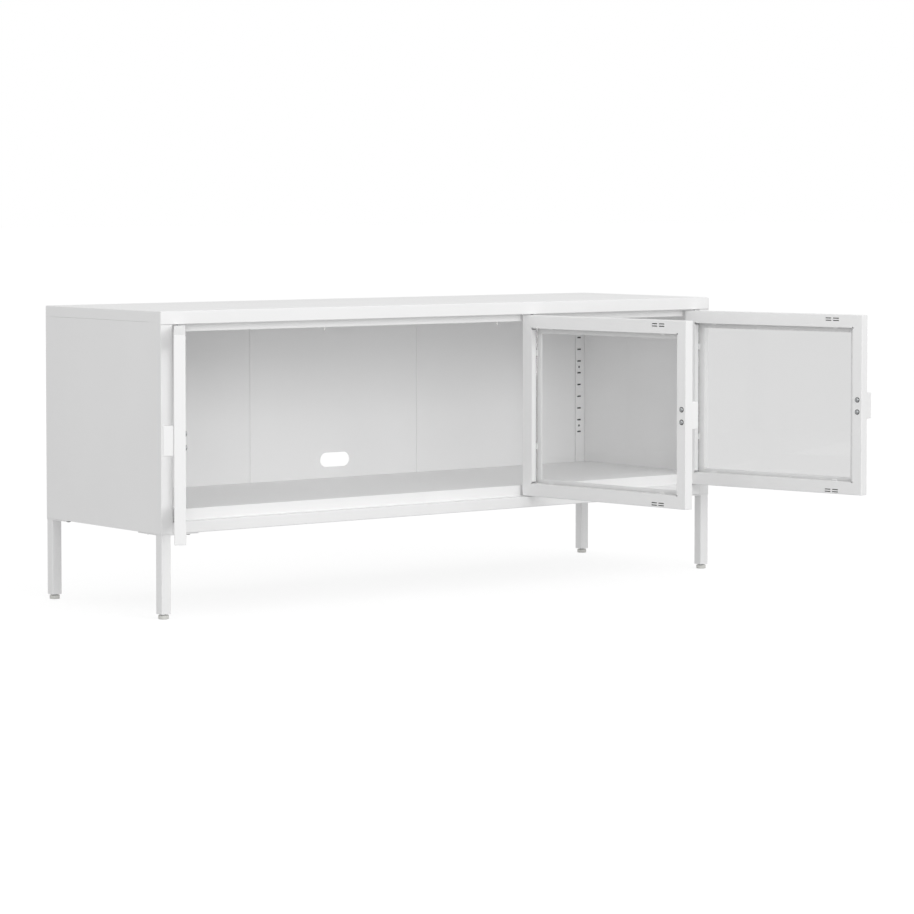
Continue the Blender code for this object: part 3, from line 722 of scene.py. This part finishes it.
door_joints = [joint for joint in frame["joints"] if joint["name"].endswith("_door_hinge")]
for joint in door_joints:
    name = joint["child"].replace("_door", "")
    bm = door_boxes(((0, 0, DOOR_LOW), (DOOR_WIDE, DOOR_DEEP, DOOR_HIGH)))
    bmesh.ops.bevel(
        bm, geom=bm.edges, offset=DOOR_BEND, segments=3, profile=0.5, affect="EDGES", material=-1
    )
    door = make(f"{name}_door_folded_frame", bm, WHITE_COAT)
    thicken(door)
    window_low = (FACE_MARGIN, -1, WINDOW_LOW)
    combine(door, door_boxes((window_low, (DOOR_WIDE - FACE_MARGIN, 2.5, WINDOW_HIGH))))
    window_low = (INNER_FLANGE, 17.5, FLANGE_LOW)
    combine(door, door_boxes((window_low, (FREE_EDGE, 21, FLANGE_HIGH))))
    low_y, high_y = DOOR_DEEP - RETURN_DEEP, DOOR_DEEP - WALL + 0.1
    low_z, high_z = FLANGE_LOW + 3, FLANGE_HIGH - 3
    left, right = INNER_FLANGE + 3, FREE_EDGE - 3
    returns = door_boxes(
        ((INNER_FLANGE - WALL, low_y, low_z), (INNER_FLANGE, high_y, high_z)),
        ((FREE_EDGE, low_y, low_z), (FREE_EDGE + WALL, high_y, high_z)),
        ((left, low_y, FLANGE_LOW - WALL), (right, high_y, FLANGE_LOW)),
        ((left, low_y, FLANGE_HIGH), (right, high_y, FLANGE_HIGH + WALL)),
    )
    combine(door, returns, "UNION")
    notches = []
    for x in (INNER_FLANGE, FREE_EDGE):
        for z in (FLANGE_LOW, FLANGE_HIGH):
            notches.append(((x - NOTCH, 17.5, z - NOTCH), (x + NOTCH, 21, z + NOTCH)))
    combine(door, door_boxes(*notches))
    slits, bridges = [], []
    half = SLIT / 2
    for low_z, high_z in LANCE_ROWS:
        for start, end in LANCE_SPANS:
            slits += [((start, 17.5, z - half), (end, 21, z + half)) for z in (low_z, high_z)]
            bridge_end = (end, DOOR_DEEP + BRIDGE_RISE, high_z - half)
            bridges.append(((start, 19, low_z + half), bridge_end))
    combine(door, door_boxes(*bridges), "UNION")
    combine(door, door_boxes(*slits))
    ease_edges(door)
    set_in_door(door, joint, [f"{name}_door_frame"])
    # A near-black plate behind each row of slits paints the shade in them.
    for end, row in zip(("lower", "upper"), LANCE_ROWS):
        z = sum(row) / 2
        low = (SHADE_PLATE_SPAN[0], SHADE_PLATE_FRONT, z - SHADE_PLATE_HALF)
        bm = door_boxes((low, (SHADE_PLATE_SPAN[1], SHADE_PLATE_BACK, z + SHADE_PLATE_HALF)))
        plate = make(f"{name}_door_keeper_{end}", bm, SHADE_BLACK_STEEL)
        ease_edges(plate, 0.3 * MM, 1)
        set_in_door(plate, joint)

# ---------------------------------------------------------------------------------------------
# Glass. A 4 mm pane of float glass with ground edges lies behind each outer face. Eight small
# steel clips, coated with the frame, press it against the face.
# ---------------------------------------------------------------------------------------------


def float_glass(name):
    """Soda-lime float glass, almost colourless. Light passes it without a caustic."""
    # Glass has an IOR of 1.52. It is a little lower here, so that the panes take as little light
    # as the real ones do.
    made, tree, shader = new_material(name, Roughness=0.0, IOR=1.38, Transmission_Weight=1.0)
    place = add_node(tree, "ShaderNodeTexCoord").outputs["Object"]
    # The cast varies a little over some 200 mm.
    cast = add_node(tree, "ShaderNodeTexNoise", [(place, "Vector")], Scale=5.0, Detail=1.0)
    tone = add_node(tree, "ShaderNodeValToRGB", [(cast.outputs["Fac"], "Fac")])
    tone.color_ramp.elements[0].color = linear("#FDFDFD")
    tone.color_ramp.elements[1].color = linear("#FFFFFF")
    tree.links.new(tone.outputs["Color"], shader.inputs["Base Color"])
    clear = add_node(tree, "ShaderNodeBsdfTransparent", Color=linear("#FDFDFD"))
    path = add_node(tree, "ShaderNodeLightPath")
    past = add_node(
        tree,
        "ShaderNodeMath",
        [(path.outputs["Is Shadow Ray"], 0), (path.outputs["Is Diffuse Ray"], 1)],
        operation="MAXIMUM",
    )
    blend = add_node(
        tree,
        "ShaderNodeMixShader",
        [(past.outputs["Value"], 0), (shader.outputs["BSDF"], 1), (clear.outputs["BSDF"], 2)],
    )
    tree.links.new(blend.outputs["Shader"], tree.nodes["Material Output"].inputs["Surface"])
    return made


CLEAR_GLASS = float_glass("clear_float_glass")
PANE_EDGE = 22.9
PANE_FRONT, PANE_BACK = 1.5, 5.5
GROUND_EDGE = 0.4 * MM
CLIP_HALF, CLIP_REACH = 6, 3.5
CLIP_ALONG, CLIP_UP = (63.0, 351.0), (119.0, 301.0)
for joint in door_joints:
    name = joint["child"].replace("_door", "")
    low = (PANE_EDGE, PANE_FRONT, DOOR_LOW + 20)
    bm = door_boxes((low, (DOOR_WIDE - PANE_EDGE, PANE_BACK, DOOR_HIGH - 22)))
    bmesh.ops.bevel(
        bm, geom=bm.edges, offset=GROUND_EDGE, segments=2, profile=0.5, affect="EDGES", material=-1
    )
    pane = make(f"{name}_door_pane", bm, CLEAR_GLASS)
    set_in_door(pane, joint, [f"{name}_door_glass"])
    spots = []
    for along in CLIP_ALONG:
        start, end = along - CLIP_HALF, along + CLIP_HALF
        spots.append(((start, FLANGE_LOW - 6), (end, FLANGE_LOW + CLIP_REACH)))
        spots.append(((start, FLANGE_HIGH - CLIP_REACH), (end, FLANGE_HIGH + 6)))
    for z in CLIP_UP:
        low_z, high_z = z - CLIP_HALF, z + CLIP_HALF
        spots.append(((INNER_FLANGE - 3, low_z), (INNER_FLANGE + CLIP_REACH, high_z)))
        spots.append(((FREE_EDGE - CLIP_REACH, low_z), (FREE_EDGE + 0.5, high_z)))
    for count, ((along, z), (along_end, z_end)) in enumerate(spots, 1):
        bm = door_boxes(((along, PANE_BACK + 0.1, z), (along_end, PANE_BACK + 1.3, z_end)))
        clip = make(f"{name}_pane_clip_{count}", bm, WHITE_COAT)
        ease_edges(clip, 0.4 * MM, 2)
        set_in_door(clip, joint)

# ---------------------------------------------------------------------------------------------
# Handles. A small solid block, coated with the door, is held near the free edge by two bright
# dome screws with a cross recess, which go in from the inner flange over black washers. The
# washers' black is painted shade, a dark ring round each head.
# ---------------------------------------------------------------------------------------------
HANDLE_MIDDLE = DOOR_WIDE - 10.0
HANDLE_WIDE, HANDLE_DEEP, HANDLE_TALL = 16.0, 18.0, 51.0
HANDLE_Z = 197.0
SCREW_PITCH = 23.6
SCREW_RADIUS, SCREW_TALL, CROSS_WIDE, CROSS_DEEP = 3.9, 2.4, 4.4, 1.3
SHADE_WASHER = ((2.0, 0.6), (4.8, 0.6), (5.0, 0.4), (5.0, 0.0), (2.0, 0.0), (2.0, 0.6))
for joint in door_joints:
    name = joint["child"].replace("_door", "")
    low = (HANDLE_MIDDLE - HANDLE_WIDE / 2, -HANDLE_DEEP, HANDLE_Z - HANDLE_TALL / 2)
    high = (HANDLE_MIDDLE + HANDLE_WIDE / 2, -0.3, HANDLE_Z + HANDLE_TALL / 2)
    bm = door_boxes((low, high))
    handle = make(f"{name}_door_pull_block", bm, WHITE_COAT)
    ease_edges(handle, 1.2 * MM, 4)
    set_in_door(handle, joint, [f"{name}_door_handle"])
    for end, sign in (("lower", -1), ("upper", 1)):
        # The two screws are turned to different angles, as a driver leaves them.
        turn = Matrix.Rotation(math.radians(-90), 4, "X") @ Matrix.Rotation(0.4 * sign, 4, "Z")
        spot = Vector((HANDLE_MIDDLE, DOOR_DEEP, HANDLE_Z + sign * SCREW_PITCH / 2))
        screw = dome_head(
            f"{name}_pull_screw_{end}",
            BRIGHT_ZINC,
            SCREW_RADIUS,
            SCREW_TALL,
            "cross",
            CROSS_WIDE,
            CROSS_DEEP,
        )
        place = Matrix.Translation((spot + Vector((0, 0.3, 0))) * MM)
        screw.data.transform(place @ turn)
        ease_edges(screw, 0.12 * MM, 2)
        set_in_door(screw, joint, [f"{name}_handle_screw_{end}"])
        # The washer's black paints a dark shade ring round the screw head.
        washer = make(f"{name}_pull_washer_{end}", turned(SHADE_WASHER, 40), SHADE_BLACK_STEEL)
        place = Matrix.Translation((spot + Vector((0, 0.02, 0))) * MM)
        washer.data.transform(place @ turn)
        set_in_door(washer, joint)

# ---------------------------------------------------------------------------------------------
# Studio. A white floor runs back into a white sky. Two long softboxes stand in front, one above
# the other, and a low third one to the left, so that light reaches the back of the open shelf.
# ---------------------------------------------------------------------------------------------


def backdrop_glow(tree, strength, lighting, seen, through_glass):
    """Sets how strongly a backdrop lights the object, shows by itself, and shows through glass."""
    path = add_node(tree, "ShaderNodeLightPath")
    bare = add_node(
        tree,
        "ShaderNodeMapRange",
        [(path.outputs["Is Camera Ray"], "Value")],
        To_Min=lighting,
        To_Max=seen,
    )
    glow = add_node(
        tree,
        "ShaderNodeMapRange",
        [(path.outputs["Is Transmission Ray"], "Value"), (bare.outputs["Result"], "To Min")],
        To_Max=through_glass,
    )
    tree.links.new(glow.outputs["Result"], strength)


FLOOR_REACH = 60.0
floor_bm = bmesh.new()
bmesh.ops.create_grid(floor_bm, x_segments=2, y_segments=2, size=FLOOR_REACH)
floor_paint, floor_tree, floor_shader = new_material(
    "matt_white_floor", Roughness=0.9, Specular_IOR_Level=0.0, Base_Color=linear("#959595")
)
floor_shader.inputs["Emission Color"].default_value = linear("#FFFFFF")
backdrop_glow(floor_tree, floor_shader.inputs["Emission Strength"], 0.23, 0.78, 0.49)
floor = make("studio_floor", floor_bm, floor_paint)

world = bpy.data.worlds.new("white_sky")
world.use_nodes = True
sky = world.node_tree.nodes["Background"]
sky.inputs["Color"].default_value = linear("#FFFFFF")
backdrop_glow(world.node_tree, sky.inputs["Strength"], 0.78, 1.0, 0.725)
bpy.context.scene.world = world
bpy.context.scene.view_settings.view_transform = "Standard"


def softbox(name, spot, target, size, power):
    """A rectangular area lamp that faces its target."""
    lamp = bpy.data.lights.new(name, "AREA")
    lamp.shape = "RECTANGLE"
    lamp.size, lamp.size_y = size
    lamp.energy = power
    made = bpy.data.objects.new(name, lamp)
    made.location = at(*spot)
    aim = at(*target) - at(*spot)
    made.rotation_euler = aim.to_track_quat("-Z", "Y").to_euler()
    made.visible_camera = False
    bpy.context.scene.collection.objects.link(made)


softbox("high_front_softbox", (500, -3000, 2600), (660, 200, 180), (3.0, 1.6), 9.0)
softbox("front_softbox", (900, -3300, 1500), (660, 200, 180), (3.0, 1.2), 26.0)
softbox("low_left_softbox", (-2400, -3300, 400), (900, 300, 180), (1.5, 0.8), 21.0)

# A long lens, 6.4 m away to the front left and a little above, pointing 2.7 degrees downwards.
lens = bpy.data.cameras.new("studio_camera")
lens.lens, lens.sensor_width = 128.86, 36.0
lens.shift_y = -0.12
lens.clip_start, lens.clip_end = 0.1, 200.0
camera = bpy.data.objects.new("studio_camera", lens)
camera.location = at(-3171.1, -4913.6, 606.9)
camera.rotation_euler = (math.radians(90 - 2.664), 0.0, math.radians(-38.018))
bpy.context.scene.collection.objects.link(camera)
bpy.context.scene.camera = camera
